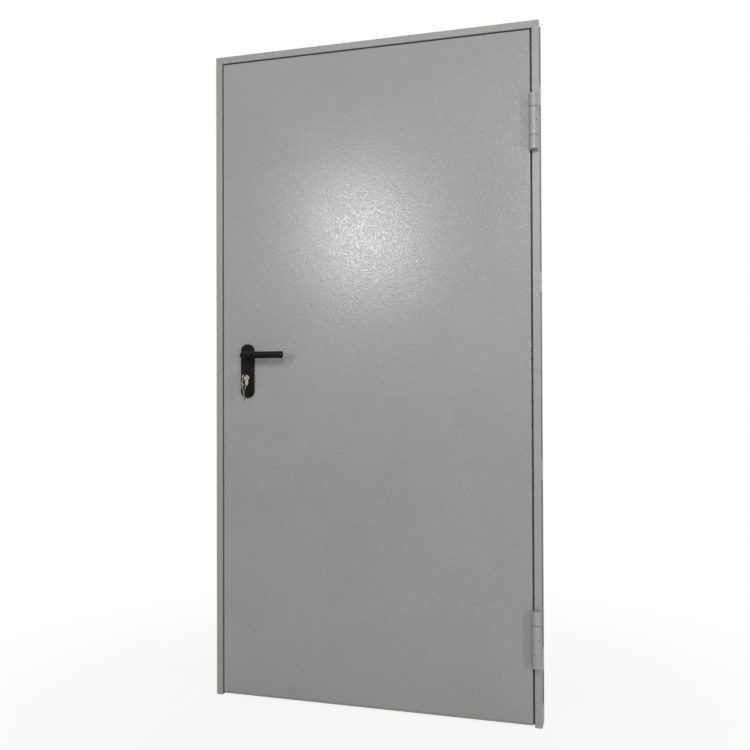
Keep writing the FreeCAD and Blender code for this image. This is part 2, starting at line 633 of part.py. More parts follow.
def leaf_rear_tray():
    """The rear sheet with the deep rim that is the leaf's body, welded to the back of the lip."""
    tray = body("leaf_rear_tray")
    pad(tray, polygon(tray, "XZ", "lip_back_y", box_outline("body_left", "body_right", "floor_gap", "body_top")),
        "leaf_depth - lip_depth")
    dress("Fillet", tray, "leaf_bend", lambda edge: edge.BoundBox.YMin > places.leaf_back_y - 0.01)
    inside = box_outline("body_left + leaf_sheet", "body_right - leaf_sheet",
                         "floor_gap + leaf_sheet", "body_top - leaf_sheet")
    pocket(tray, polygon(tray, "XZ", "lip_back_y - leaf_sheet", inside), "leaf_depth - lip_depth")
    forend = box_outline("lock_y - forend_width / 2", "lock_y + forend_width / 2",
                         "forend_low", "forend_low + forend_rise")
    pocket(tray, polygon(tray, "YZ", "body_left - leaf_sheet", forend), "3 * leaf_sheet")
    for height in ("dog_low", "dog_high"):
        hole = circle(tray, "YZ", "body_right - 2 * leaf_sheet", "lock_y", height, "dog_width + 2 * bolt_play")
        pocket(tray, hole, "4 * leaf_sheet")
    spindle_hole(tray, "leaf_back_y - 2 * leaf_sheet", "3 * leaf_sheet", "journal_width + 2 * journal_play")
    cylinder_outline(tray, "leaf_back_y - 2 * leaf_sheet", "3 * leaf_sheet", True, "cylinder_play")
    keep(tray, "leaf_rear_tray")


def leaf_core():
    """The mineral board that fills the leaf, cut out for the lock, the cylinder and the dog bolts."""
    core = body("leaf_core")
    depth = "leaf_depth - 2 * leaf_sheet"
    pad(core, polygon(core, "XZ", "front_y + leaf_sheet",
                      box_outline("body_left + leaf_sheet", "body_right - leaf_sheet",
                                  "floor_gap + leaf_sheet", "body_top - leaf_sheet")), depth)
    forend = box_outline("lock_y - forend_width / 2", "lock_y + forend_width / 2",
                         "forend_low", "forend_low + forend_rise")
    pocket(core, polygon(core, "YZ", "body_left", forend), "forend_thick")
    case = box_outline("lock_y - case_thick / 2", "lock_y + case_thick / 2", "case_low", "case_low + case_rise")
    pocket(core, polygon(core, "YZ", "body_left", case), "forend_thick + case_depth")
    for height in ("dog_low", "dog_high"):
        hole = circle(core, "YZ", "body_right - dog_root", "lock_y", height, "dog_width + 2 * bolt_play")
        pocket(core, hole, "2 * dog_root")
    spindle_hole(core, "front_y", "leaf_depth", "journal_width + 2 * journal_play")
    cylinder_outline(core, "front_y", "leaf_depth", True, "cylinder_play")
    keep(core, "leaf_core")


def mortice_lock():
    """The lock's forend and case in one, with the ways of its two bolts, its follower and its cylinder."""
    lock = body("mortice_lock")
    pad(lock, polygon(lock, "YZ", "body_left",
                      box_outline("lock_y - forend_width / 2", "lock_y + forend_width / 2",
                                  "forend_low", "forend_low + forend_rise")), "forend_thick")
    pad(lock, polygon(lock, "YZ", "body_left + forend_thick",
                      box_outline("lock_y - case_thick / 2", "lock_y + case_thick / 2",
                                  "case_low", "case_low + case_rise")), "case_depth")
    for middle, rise, thick, length in (("latch_z", "latch_rise", "latch_thick", "latch_length"),
                                        ("dead_z", "dead_rise", "dead_thick", "dead_length")):
        way = polygon(lock, "YZ", "body_left - bolt_proud", bolt_outline(middle, rise, thick, "bolt_play"))
        pocket(lock, way, f"{length} + bolt_play")
    spindle_hole(lock, "front_y", "leaf_depth", "follower_width + 2 * follower_play")
    cylinder_outline(lock, "front_y", "leaf_depth", True, "cylinder_play")
    keep(lock, "mortice_lock")


def lock_bolts():
    """The latch bolt, bevelled on its closing side, and the dead bolt, both drawn back into the forend."""
    latch = body("latch_bolt")
    tip = "body_left - bolt_proud"
    pad(latch, polygon(latch, "YZ", tip, bolt_outline("latch_z", "latch_rise", "latch_thick")), "latch_length")
    bevel = [(tip, "lock_y - latch_thick / 2"), (f"{tip} + latch_thick / 2", "lock_y - latch_thick / 2"),
             (tip, "lock_y + latch_thick / 4")]
    pocket(latch, polygon(latch, "XY", "latch_z - latch_rise", bevel), "2 * latch_rise")
    keep(latch, "latch_bolt")
    dead = body("dead_bolt")
    pad(dead, polygon(dead, "YZ", tip, bolt_outline("dead_z", "dead_rise", "dead_thick")), "dead_length")
    keep(dead, "dead_bolt")


def dog_bolts():
    """Two fixed bolts in the hinge edge that reach into the jamb when the leaf is closed."""
    made = []
    for height in ("dog_low", "dog_high"):
        shank = rod("X", "body_right - dog_root", "lock_y", height, "dog_width", "dog_root + dog_reach - dog_width / 4")
        tip = solid("Cone", Radius1="dog_width / 2", Radius2="dog_width / 3", Height="dog_width / 4")
        tip.Placement.Rotation = FreeCAD.Rotation(FreeCAD.Vector(0, 1, 0), 90)
        put(tip, "body_right + dog_reach - dog_width / 4", "lock_y", height)
        made.append(fuse([shank, tip]))
    together("dog_bolts", made)


def long_plate(name, front, outside):
    """A long plate with round ends, its outer edge rounded, over the lever axis and the cylinder."""
    plate = body(name)
    pad(plate, stadium(plate, "XZ", front, "lock_x", "plate_low", "plate_low + plate_rise", "plate_width"),
        "plate_thick")
    spindle_hole(plate, f"{front} - plate_thick", "3 * plate_thick", "journal_width + 2 * journal_play")
    cylinder_outline(plate, f"{front} - plate_thick", "3 * plate_thick", True, "cylinder_play")
    doc.recompute()
    level = outside()
    wide = sizes.plate_width * 0.6

    def outer_edge(edge):
        box = edge.BoundBox
        flat = abs(box.YMin - level) < 0.01 and abs(box.YMax - level) < 0.01
        return flat and (box.XLength > wide or box.ZLength > wide)
    dress("Fillet", plate, "plate_round", outer_edge)
    keep(plate, name)


def long_plates():
    long_plate("front_plate", "front_y - plate_thick", lambda: places.front_y - sizes.plate_thick)
    long_plate("rear_plate", "leaf_back_y", lambda: places.leaf_back_y + sizes.plate_thick)


def lock_cylinder():
    """The profile cylinder, as long as the leaf with both plates, with its keyway on the pull side."""
    cylinder = body("lock_cylinder")
    cylinder_outline(cylinder, "key_y", "leaf_depth + 2 * (plate_thick + cylinder_proud)", False)
    keyway = box_outline("lock_x - keyway_width / 2", "lock_x + keyway_width / 2",
                         "cylinder_z - keyway_rise / 2", "cylinder_z + keyway_rise / 2")
    pocket(cylinder, polygon(cylinder, "XZ", "key_y - keyway_depth", keyway), "2 * keyway_depth")
    keep(cylinder, "lock_cylinder")


# The levers and what turns with them

def half_round(piece, depth, tip):
    """Rounds the grip's end as it is seen from the front, where the turned tip reaches furthest."""
    radius = sizes.grip_rise / 2
    high, low = sizes.lever_z + 2 * radius, sizes.lever_z - 2 * radius
    start, clear = tip - radius, tip + radius
    outline = sketch_on(piece, "XZ", depth)
    corners = [FreeCAD.Vector(*corner, 0) for corner in (
        (start, sizes.lever_z + radius), (start, high), (clear, high), (clear, low),
        (start, low), (start, sizes.lever_z - radius))]
    for near, far in zip(corners, corners[1:]):
        outline.addGeometry(Part.LineSegment(near, far), False)
    middle = FreeCAD.Vector(tip, sizes.lever_z, 0)
    outline.addGeometry(Part.Arc(corners[-1], middle, corners[0]), False)
    pocket(piece, outline, "grip_stand + grip_thick")


def lever(name, face, outward):
    """A lever swept from one oval section: out of the plate, round the bend, along the grip and back at its end."""
    piece = body(name)
    sign = "-" if outward < 0 else "+"
    start = f"{face} {sign} (plate_thick + lever_gap)"
    journal = "plate_thick + lever_gap"
    journal_front = start if outward < 0 else face
    pad(piece, circle(piece, "XZ", journal_front, "lock_x", "lever_z", "journal_width"), journal)

    face_y = places.front_y if outward < 0 else places.leaf_back_y
    start_y = face_y + outward * (sizes.plate_thick + sizes.lever_gap)
    grip_y = face_y + outward * sizes.grip_stand
    bend, tip = sizes.grip_bend, sizes.tip_bend
    turn = math.radians(sizes.tip_turn)
    left = places.lock_x
    elbow = FreeCAD.Vector(left + bend * (1 - math.sqrt(0.5)), grip_y - outward * bend * (1 - math.sqrt(0.5)), 0)
    tip_x = left + sizes.grip_length
    half = FreeCAD.Vector(tip_x + tip * math.sin(turn / 2), grip_y - outward * tip * (1 - math.cos(turn / 2)), 0)
    end = FreeCAD.Vector(tip_x + tip * math.sin(turn), grip_y - outward * tip * (1 - math.cos(turn)), 0)
    neck = FreeCAD.Vector(left, start_y, 0)
    neck_end = FreeCAD.Vector(left, grip_y - outward * bend, 0)
    grip_start = FreeCAD.Vector(left + bend, grip_y, 0)
    grip_end = FreeCAD.Vector(tip_x, grip_y, 0)
    route = sketch_on(piece, "XY", "lever_z")
    route.addGeometry(Part.LineSegment(neck, neck_end), False)
    route.addGeometry(Part.Arc(neck_end, elbow, grip_start), False)
    route.addGeometry(Part.LineSegment(grip_start, grip_end), False)
    route.addGeometry(Part.Arc(grip_end, half, end), False)

    oval = sketch_on(piece, "XZ", start)
    middle = FreeCAD.Vector(left, sizes.lever_z, 0)
    oval.addGeometry(Part.Ellipse(middle + FreeCAD.Vector(0, sizes.grip_rise / 2, 0),
                                  middle + FreeCAD.Vector(sizes.grip_thick / 2, 0, 0), middle), False)
    sweep = piece.newObject("PartDesign::AdditivePipe", "AdditivePipe")
    sweep.Profile = oval
    sweep.Spine = (route, ["Edge1", "Edge2", "Edge3", "Edge4"])
    features.append(sweep)
    doc.recompute()
    dress("Fillet", piece, "tip_round", lambda edge: edge.BoundBox.XMin > grip_end.x + tip * math.sin(turn) / 2)
    half_round(piece, f"{face} - grip_stand - grip_thick" if outward < 0 else face,
               end.x + sizes.grip_thick / 2 * math.sin(turn))
    side = "(spindle_width / 2 + spindle_play)"
    socket = box_outline(f"lock_x - {side}", f"lock_x + {side}", f"lever_z - {side}", f"lever_z + {side}")
    mouth = f"{face} - spindle_bite" if outward < 0 else face
    pocket(piece, polygon(piece, "XZ", mouth, socket), "spindle_bite")
    keep(piece, name)


def levers():
    lever("front_lever", "front_y", -1)
    lever("rear_lever", "leaf_back_y", 1)


def spindle():
    """The square bar that joins the two levers, and the follower that it turns in the lock case."""
    reach = "(spindle_bite - spindle_play)"
    keep(block("lock_x - spindle_width / 2", "lock_x + spindle_width / 2", f"front_y - {reach}",
               f"leaf_back_y + {reach}", "lever_z - spindle_width / 2", "lever_z + spindle_width / 2"), "spindle")
    disc = rod("Y", "lock_x", "lock_y - case_thick / 2", "lever_z", "follower_width", "case_thick")
    side = "(spindle_width / 2 + spindle_play)"
    square = block(f"lock_x - {side}", f"lock_x + {side}", "lock_y - case_thick", "lock_y + case_thick",
                   f"lever_z - {side}", f"lever_z + {side}")
    keep(cut(disc, square), "lock_follower")


# The keys

def key(name):
    """A key that lies along Y, its bow towards -Y, its shoulder at the origin."""
    piece = body(name)
    thick = "key_thick"
    start = "-key_thick / 2"
    pad(piece, circle(piece, "YZ", start, "-bow_offset", "0", "bow_width"), thick)
    pad(piece, polygon(piece, "YZ", start, box_outline("-bow_offset", "0", "-neck_width / 2", "neck_width / 2")),
        thick)
    notches = [("0", "-blade_width / 2"), ("0", "blade_width / 2"),
               ("blade_length - blade_width / 4", "blade_width / 2"), ("blade_length", "blade_width / 4")]
    teeth = 5
    for i in range(teeth):
        near = f"blade_length * {0.92 - 0.16 * i:.2f}"
        far = f"blade_length * {0.84 - 0.16 * i:.2f}"
        notches.append((near, "-blade_width / 2"))
        notches.append((far, f"-blade_width * {0.22 + 0.08 * (i % 3):.2f}"))
    pad(piece, polygon(piece, "YZ", start, notches), thick)
    pocket(piece, circle(piece, "YZ", "-key_thick", "-bow_offset", "0", "bow_hole"), "2 * key_thick")
    return keep(piece, name)


def keys():
    inserted = key("inserted_key")
    put(inserted, "lock_x", "key_y", "cylinder_z")

    ring = solid("Torus", Radius1="ring_radius", Radius2="ring_wire / 2")
    upright = FreeCAD.Rotation(FreeCAD.Vector(1, 0, 0), 90)
    turned = FreeCAD.Rotation(FreeCAD.Vector(0, 0, 1), sizes.ring_turn)
    ring.Placement.Rotation = turned.multiply(upright)
    put(keep(ring, "key_ring"), "lock_x", "ring_y", "ring_top - ring_radius")

    spare = key("spare_key")
    hanging = FreeCAD.Rotation(FreeCAD.Vector(1, 0, 0), -90)
    spare.Placement.Rotation = turned.multiply(hanging)
    put(spare, "lock_x", "ring_y", "spare_top - bow_hole / 2 - bow_offset")


lock_jamb()
hinge_jamb()
frame_head()
jamb_anchors()
head_anchors()
seals()
strike()
hinge("upper_hinge", "upper_hinge_z")
hinge("lower_hinge", "lower_hinge_z")
leaf_front_tray()
leaf_rear_tray()
leaf_core()
mortice_lock()
lock_bolts()
dog_bolts()
long_plates()
lock_cylinder()
levers()
spindle()
keys()
doc.recompute()


def check():
    """Stops if an object failed, a cut removed nothing or a sub-part has no valid shape."""
    for thing in doc.Objects:
        if {"Invalid", "Error"} & set(thing.State):
            raise RuntimeError(f"{thing.Name} of {thing.Label} failed: {thing.State}")
    for made in features:
        if made.TypeId == "PartDesign::Pocket" and made.Shape.Volume > made.BaseFeature.Shape.Volume - 0.001:
            raise RuntimeError(f"{made.Name} in {made.getParentGeoFeatureGroup().Label} cuts nothing")
    for node in nodes:
        if node.Shape.isNull() or not node.Shape.isValid():
            raise RuntimeError(f"{node.Label} has no valid shape")


check()
os.makedirs("parts", exist_ok=True)
for node in nodes:
    node.Shape.exportStep(f"parts/{node.Label}.step")
print(len(nodes), "sub-parts written")
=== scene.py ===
"""The looks of a steel fire door: finishes, seals, screws, key ring, room, lamps and camera."""

import json
import math

import bmesh
import bpy
from mathutils import Matrix, Vector

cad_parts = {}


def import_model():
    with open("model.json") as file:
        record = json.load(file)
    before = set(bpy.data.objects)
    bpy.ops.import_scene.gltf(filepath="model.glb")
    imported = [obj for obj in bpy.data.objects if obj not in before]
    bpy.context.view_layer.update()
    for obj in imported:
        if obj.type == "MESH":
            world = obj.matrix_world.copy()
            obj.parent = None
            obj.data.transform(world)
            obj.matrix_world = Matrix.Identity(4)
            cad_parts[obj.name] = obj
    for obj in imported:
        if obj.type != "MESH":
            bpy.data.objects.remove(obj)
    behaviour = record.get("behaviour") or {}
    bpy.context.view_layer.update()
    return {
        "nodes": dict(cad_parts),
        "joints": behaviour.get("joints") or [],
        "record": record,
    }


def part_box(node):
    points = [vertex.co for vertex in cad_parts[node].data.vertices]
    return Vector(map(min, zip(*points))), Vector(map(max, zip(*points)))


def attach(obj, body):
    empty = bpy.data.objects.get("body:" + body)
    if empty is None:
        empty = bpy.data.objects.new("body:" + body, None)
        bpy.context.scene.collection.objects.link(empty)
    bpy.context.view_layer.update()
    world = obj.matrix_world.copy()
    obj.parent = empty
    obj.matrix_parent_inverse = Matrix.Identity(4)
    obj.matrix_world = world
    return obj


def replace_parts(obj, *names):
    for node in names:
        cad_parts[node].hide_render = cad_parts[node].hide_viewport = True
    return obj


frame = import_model()
nodes = frame["nodes"]
MM = 0.001

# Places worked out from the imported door

JOINTS = {joint["name"]: Vector(joint["pos_m"]) for joint in frame["joints"]}
MOUNTS = {mount["name"]: mount for mount in frame["record"]["mounts"]}
LEVER = JOINTS["lever_turn"]


def low(node):
    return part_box(node)[0]


def high(node):
    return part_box(node)[1]


def middle(node):
    return (low(node) + high(node)) / 2


FRAME_LEFT = low("lock_jamb").x
FRAME_RIGHT = high("hinge_jamb").x
FRAME_TOP = high("frame_head").z
SOFFIT_LEFT = high("lock_jamb").x
SOFFIT_RIGHT = low("hinge_jamb").x
SOFFIT_TOP = low("frame_head").z
STOP = high("head_gasket").y
LIP_BACK = high("leaf_front_tray").y
PLATE_REAR = high("rear_plate").y
CYLINDER_Z = high("lock_cylinder").z - (high("lock_cylinder").x - low("lock_cylinder").x) / 2

# The camera that took the photograph, found from the corners of the frame

CAMERA_PLACE = (0.2166, -2.5569, 1.0121)
CAMERA_TURN = (90.621, 0.192, 16.007)
CAMERA_LENS = 40.526


# Shader nodes

class Socket:
    """A value in a finish. Arithmetic on it adds Math nodes to the same finish."""

    def __init__(self, finish, plug):
        self.finish = finish
        self.plug = plug

    def math(self, operation, *values):
        return self.finish.node("ShaderNodeMath", {"operation": operation}, dict(enumerate(values)))

    def __add__(self, other):
        return self.math("ADD", self, other)

    def __radd__(self, other):
        return self.math("ADD", other, self)

    def __sub__(self, other):
        return self.math("SUBTRACT", self, other)

    def __rsub__(self, other):
        return self.math("SUBTRACT", other, self)

    def __mul__(self, other):
        return self.math("MULTIPLY", self, other)

    def __rmul__(self, other):
        return self.math("MULTIPLY", other, self)

    def __abs__(self):
        return self.math("ABSOLUTE", self)

    def least(self, other):
        return self.math("MINIMUM", self, other)

    def parts(self):
        """The X, Y and Z of a vector."""
        return [self.finish.node("ShaderNodeSeparateXYZ", {}, {0: self}, i) for i in range(3)]

    def between(self, start, end):
        """0 below the start, 1 above the end and a soft step in between."""
        return self.finish.node("ShaderNodeMapRange", {"interpolation_type": "SMOOTHSTEP"},
                                {"Value": self, "From Min": start, "From Max": end})


class Finish:
    """A material with its Principled shader and short ways to add nodes to it."""

    def __init__(self, name, **plain):
        self.material = bpy.data.materials.new(name)
        self.material.use_nodes = True
        self.tree = self.material.node_tree
        self.shader = self.tree.nodes["Principled BSDF"]
        for key, value in plain.items():
            self.set(key.replace("_", " ").title().replace("Ior", "IOR"), value)

    def node(self, kind, settings, inputs, output=0):
        made = self.tree.nodes.new(kind)
        for key, value in settings.items():
            setattr(made, key, value)
        for key, value in inputs.items():
            self.feed(made.inputs[key], value)
        return Socket(self, made.outputs[output])

    def feed(self, plug, value):
        if isinstance(value, Socket):
            self.tree.links.new(value.plug, plug)
        elif plug.type == "RGBA" and len(value) == 3:
            plug.default_value = (*value, 1)
        else:
            plug.default_value = value

    def set(self, name, value):
        self.feed(self.shader.inputs[name], value)

    def place(self, shift=(0, 0, 0), stretch=(1, 1, 1)):
        """Object coordinates, moved and stretched by a Mapping node."""
        spot = self.node("ShaderNodeTexCoord", {}, {}, 3)
        return self.node("ShaderNodeMapping", {}, {"Vector": spot, "Location": shift, "Scale": stretch})

    def noise(self, size, detail=2, place=None, rough=0.5):
        """Cloudy noise from 0 to 1, its patches about this many metres across."""
        inputs = {"Vector": place or self.place(), "Scale": 1 / size, "Detail": detail, "Roughness": rough}
        return self.node("ShaderNodeTexNoise", {}, inputs)

    def cells(self, size, output="Distance"):
        """Cells about this many metres across: the distance from their centres, or a colour for each."""
        return self.node("ShaderNodeTexVoronoi", {}, {"Vector": self.place(), "Scale": 1 / size}, output)

    def mix(self, mask, first, second):
        """The first colour where the mask is 0 and the second where it is 1."""
        return self.node("ShaderNodeMix", {"data_type": "RGBA"}, {0: mask, 6: first, 7: second}, 2)

    def bump(self, height, distance):
        """Raises the surface by the height, where a height of 1 is this many metres."""
        inputs = {"Height": height, "Distance": distance, "Strength": 1.0}
        self.set("Normal", self.node("ShaderNodeBump", {}, inputs))


# Finishes

COAT_LIGHT = (0.306, 0.304, 0.290)
COAT_DARK = (0.294, 0.292, 0.278)
COAT_SEAM = (0.150, 0.149, 0.142)


def powder_coat(name, shift=(0, 0, 0), mitred=False, rough=0.34):
    """Fine-textured powder coat: small soft grains over a gentle unevenness of the coat."""
    grain_size = 5 * MM
    grain_rise = 0.4 * MM
    cloud_size = 0.22
    coat = Finish(name, ior=1.7)
    height = coat.noise(grain_size, 2, coat.place(shift), 0.6)
    speckle = coat.noise(grain_size, 1, coat.place(shift)).between(0.36, 0.64)
    cloud = coat.noise(cloud_size, 3, coat.place(shift))
    colour = coat.mix(cloud.between(0.35, 0.65), COAT_DARK, COAT_LIGHT)
    coat.set("Roughness", rough + 0.11 * speckle)
    if mitred:
        line = mitre_line(coat)
        colour = coat.mix(0.3 * line, colour, COAT_SEAM)
        height = height - 3.0 * line
    coat.set("Base Color", colour)
    coat.bump(height, grain_rise)
    return coat.material


def mitre_line(coat):
    """1 on the two mitres of the head, 0 elsewhere."""
    across, _, up = coat.place().parts()
    drop = FRAME_TOP - up
    near_left = abs((across - FRAME_LEFT) - drop)
    near_right = abs((FRAME_RIGHT - across) - drop)
    width = 0.9 * MM
    return 1 - near_left.least(near_right).between(0.2 * width, width)


def plated_steel():
    """Bright zinc plating with fine drawn lines and soft handling marks."""
    steel = Finish("bright_zinc_plating", metallic=1.0)
    streaks = steel.noise(1.2 * MM, 3, steel.place(stretch=(1, 1, 0.06)))
    marks = steel.noise(14 * MM, 3)
    steel.set("Base Color", steel.mix(marks, (0.60, 0.61, 0.62), (0.50, 0.51, 0.53)))
    steel.set("Roughness", 0.26 + 0.16 * streaks)
    steel.bump(streaks, 0.012 * MM)
    return steel.material


def galvanised_steel():
    """Hot-dip zinc with its large crystals."""
    zinc = Finish("galvanised_steel", metallic=1.0)
    crystals = zinc.cells(9 * MM, output="Color")
    shade = zinc.node("ShaderNodeRGBToBW", {}, {0: crystals})
    zinc.set("Base Color", zinc.mix(shade, (0.42, 0.44, 0.46), (0.60, 0.61, 0.62)))
    zinc.set("Roughness", 0.38 + 0.2 * shade)
    zinc.bump(zinc.noise(3 * MM), 0.03 * MM)
    return zinc.material


def gasket_rubber():
    rubber = Finish("gasket_rubber", ior=1.5)
    dust = rubber.noise(6 * MM, 4)
    rubber.set("Base Color", rubber.mix(dust.between(0.4, 0.8), (0.26, 0.26, 0.25), (0.33, 0.33, 0.32)))
    rubber.set("Roughness", 0.62 + 0.2 * dust)
    rubber.bump(rubber.noise(0.5 * MM), 0.02 * MM)
    return rubber.material


def fire_strip():
    """Pressed graphite strip with a dull, slightly flaky face."""
    strip = Finish("graphite_fire_strip", ior=1.5)
    flakes = strip.cells(1.1 * MM)
    strip.set("Base Color", strip.mix(flakes, (0.035, 0.035, 0.036), (0.075, 0.074, 0.072)))
    strip.set("Roughness", 0.7 + 0.2 * flakes)
    strip.bump(flakes, 0.05 * MM)
    return strip.material


def mineral_board():
    """Pressed mineral wool, in matted fibres."""
    board = Finish("mineral_board", roughness=0.95, ior=1.4)
    fibres = board.noise(2.5 * MM, 6, board.place(stretch=(0.25, 1, 1)), 0.7)
    board.set("Base Color", board.mix(fibres, (0.27, 0.25, 0.14), (0.42, 0.39, 0.27)))
    board.bump(fibres, 0.6 * MM)
    return board.material


def satin_brass():
    """Pale satin brass with a light haze."""
    brass = Finish("pale_satin_cylinder", metallic=1.0)
    haze = brass.noise(1.5 * MM, 3)
    brass.set("Base Color", brass.mix(haze, (0.70, 0.66, 0.47), (0.60, 0.55, 0.37)))
    brass.set("Roughness", 0.24 + 0.14 * haze)
    brass.bump(haze, 0.01 * MM)
    return brass.material


def black_nylon():
    """Satin black moulded nylon with a fine spark-eroded texture."""
    nylon = Finish("satin_black_nylon", ior=1.5, specular_ior_level=0.12)
    pits = nylon.noise(0.7 * MM, 2)
    wear = nylon.noise(30 * MM, 3)
    nylon.set("Base Color", nylon.mix(wear, (0.0036, 0.0036, 0.0040), (0.0056, 0.0056, 0.0062)))
    nylon.set("Roughness", 0.33 + 0.14 * pits)
    nylon.bump(pits, 0.03 * MM)
    return nylon.material


def key_nickel():
    """Nickel plating, rubbed to a soft shine, its colour darkened as a painted dark reflection of the room.
    """
    nickel = Finish("key_nickel", metallic=1.0)
    rub = nickel.noise(3 * MM, 4)
    # Both colours are far darker than bright nickel: painted dark reflection of the room, in random rubbed
    # patches
    nickel.set("Base Color", nickel.mix(rub, (0.50, 0.49, 0.46), (0.36, 0.35, 0.33)))
    nickel.set("Roughness", 0.2 + 0.18 * rub)
    nickel.bump(rub, 0.015 * MM)
    return nickel.material


FINISHES = {
    "frame_coat": powder_coat("frame_powder_coat", mitred=True),
    "leaf_coat": powder_coat("leaf_powder_coat", shift=(3.1, 1.7, 0.4), rough=0.17),
    "hinge_coat": powder_coat("hinge_powder_coat", shift=(7.3, 2.9, 5.2)),
    "bright_steel": plated_steel(),
    "zinc_steel": galvanised_steel(),
    "gasket_rubber": gasket_rubber(),
    "fire_strip": fire_strip(),
    "mineral_board": mineral_board(),
    "cylinder_brass": satin_brass(),
    "black_nylon": black_nylon(),
    "key_nickel": key_nickel(),
}


def dress_nodes():
    """Gives each sub-part of the door the finish of its slot in the record."""
    for part in frame["record"]["subparts"]:
        node = nodes[part["node"]]
        for slot in node.material_slots:
            slot.material = FINISHES[part["material_slot"]]


dress_nodes()


# Making pieces

def piece(name, mesh, body, slot, smooth=30):
    """A finished piece on one body: the mesh holds its place and the object stays at the origin."""
    made = bpy.data.objects.new(name, mesh)
    bpy.context.scene.collection.objects.link(made)
    if not mesh.materials:
        mesh.materials.append(FINISHES[slot])
    mesh.shade_smooth()
    mesh.set_sharp_from_angle(angle=math.radians(smooth))
    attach(made, body)
    return made


def mesh_of(name, shape):
    """A mesh from a bmesh, with its faces turned outwards."""
    bmesh.ops.recalc_face_normals(shape, faces=shape.faces)
    mesh = bpy.data.meshes.new(name)
    shape.to_mesh(mesh)
    shape.free()
    return mesh


def lathe(name, outline, steps=32):
    """Turns an outline of (radius, height) round Z. The outline starts and ends on the axis."""
    shape = bmesh.new()
    rings = []
    for radius, height in outline:
        if radius == 0:
            rings.append([shape.verts.new((0, 0, height))])
            continue
        turns = [2 * math.pi * i / steps for i in range(steps)]
        rings.append([shape.verts.new((radius * math.cos(a), radius * math.sin(a), height)) for a in turns])
    for near, far in zip(rings, rings[1:]):
        for i in range(steps):
            j = (i + 1) % steps
            corners = [near[i % len(near)], near[j % len(near)], far[j % len(far)], far[i % len(far)]]
            shape.faces.new(list(dict.fromkeys(corners)))
    return mesh_of(name, shape)


def cross_head(name, width):
    """A countersunk screw head with a cross recess. Its face is at the origin and it points along +Z."""
    shape = bmesh.new()
    steps = 32
    sink = 2 * MM
    radius = width / 2
    arm_reach = radius * 0.62
    arm_half = width * 0.08
    recess_depth = width * 0.3
    rim_drop = width * 0.04

    def ring(size, height):
        angles = [2 * math.pi * i / steps for i in range(steps)]
        return [shape.verts.new((size * math.cos(a), size * math.sin(a), height)) for a in angles]

    def recess(scale, height):
        quarter = [(arm_reach, -arm_half), (arm_reach, arm_half), (arm_half, arm_half)]
        points = []
        for turn in range(4):
            a = turn * math.pi / 2
            points += [(x * math.cos(a) - y * math.sin(a), x * math.sin(a) + y * math.cos(a))
                       for x, y in quarter]
        return [shape.verts.new((x * scale, y * scale, height)) for x, y in points]

    def edges(loop):
        pairs = zip(loop, loop[1:] + loop[:1])
        return [shape.edges.get(pair) or shape.edges.new(pair) for pair in pairs]

    def wall(first, second):
        for i in range(len(first)):
            j = (i + 1) % len(first)
            shape.faces.new((first[i], first[j], second[j], second[i]))

    rim = ring(radius, -rim_drop)
    top = ring(radius * 0.93, 0)
    foot = ring(radius * 0.5, -sink)
    mouth = recess(1, 0)
    bottom = recess(0.55, -recess_depth)
    wall(rim, foot)
    wall(top, rim)
    bmesh.ops.triangle_fill(shape, edges=edges(top) + edges(mouth), use_beauty=True)
    wall(mouth, bottom)
    shape.faces.new(bottom)
    shape.faces.new(foot)
    bmesh.ops.remove_doubles(shape, verts=shape.verts, dist=1e-7)
    return mesh_of(name, shape)


class Nodes:
    """A Geometry Nodes tree with named inputs, applied to one object and then made a plain mesh."""

    def __init__(self, name, **inputs):
        self.tree = bpy.data.node_groups.new(name, "GeometryNodeTree")
        self.tree.interface.new_socket("Geometry", in_out="OUTPUT", socket_type="NodeSocketGeometry")
        self.tree.interface.new_socket("Geometry", in_out="INPUT", socket_type="NodeSocketGeometry")
        self.sockets = {}
        kinds = {"float": "NodeSocketFloat", "Object": "NodeSocketObject", "Material": "NodeSocketMaterial"}
        self.values = inputs
        for key, value in inputs.items():
            kind = kinds[type(value).__name__]
            self.sockets[key] = self.tree.interface.new_socket(key, in_out="INPUT", socket_type=kind)
        self.start = self.tree.nodes.new("NodeGroupInput")
        self.end = self.tree.nodes.new("NodeGroupOutput")

    def input(self, name):
        return self.start.outputs[name]

    def node(self, kind, settings, inputs, output=0):
        made = self.tree.nodes.new(kind)
        for key, value in settings.items():
            setattr(made, key, value)
        for key, value in inputs.items():
            if isinstance(value, bpy.types.NodeSocket):
                self.tree.links.new(value, made.inputs[key])
            else:
                made.inputs[key].default_value = value
        return made.outputs[output]

    def finish(self, shape):
        """Realizes the instances, sets the finish and links the result to the output."""
        solid = self.node("GeometryNodeRealizeInstances", {}, {0: shape})
        coated = self.node("GeometryNodeSetMaterial", {},
                           {"Geometry": solid, "Material": self.input("Finish")})
        self.tree.links.new(coated, self.end.inputs[0])

    def mesh(self, name, base):
        """The plain mesh that the tree makes from a base mesh."""
        holder = bpy.data.objects.new(name, base)
        bpy.context.scene.collection.objects.link(holder)
        modifier = holder.modifiers.new(name, "NODES")
        modifier.node_group = self.tree
        for key, value in self.values.items():
            modifier[self.sockets[key].identifier] = value
        graph = bpy.context.evaluated_depsgraph_get()
        made = bpy.data.meshes.new_from_object(holder.evaluated_get(graph))
        bpy.data.objects.remove(holder)
        made.name = name
        return made


def points(name, places):
    """A mesh of loose points, each with the direction that it faces."""
    mesh = bpy.data.meshes.new(name)
    mesh.from_pydata([spot for spot, _ in places], [], [])
    facing = mesh.attributes.new("facing", "FLOAT_VECTOR", "POINT")
    for i, (_, direction) in enumerate(places):
        facing.data[i].vector = direction
    return mesh


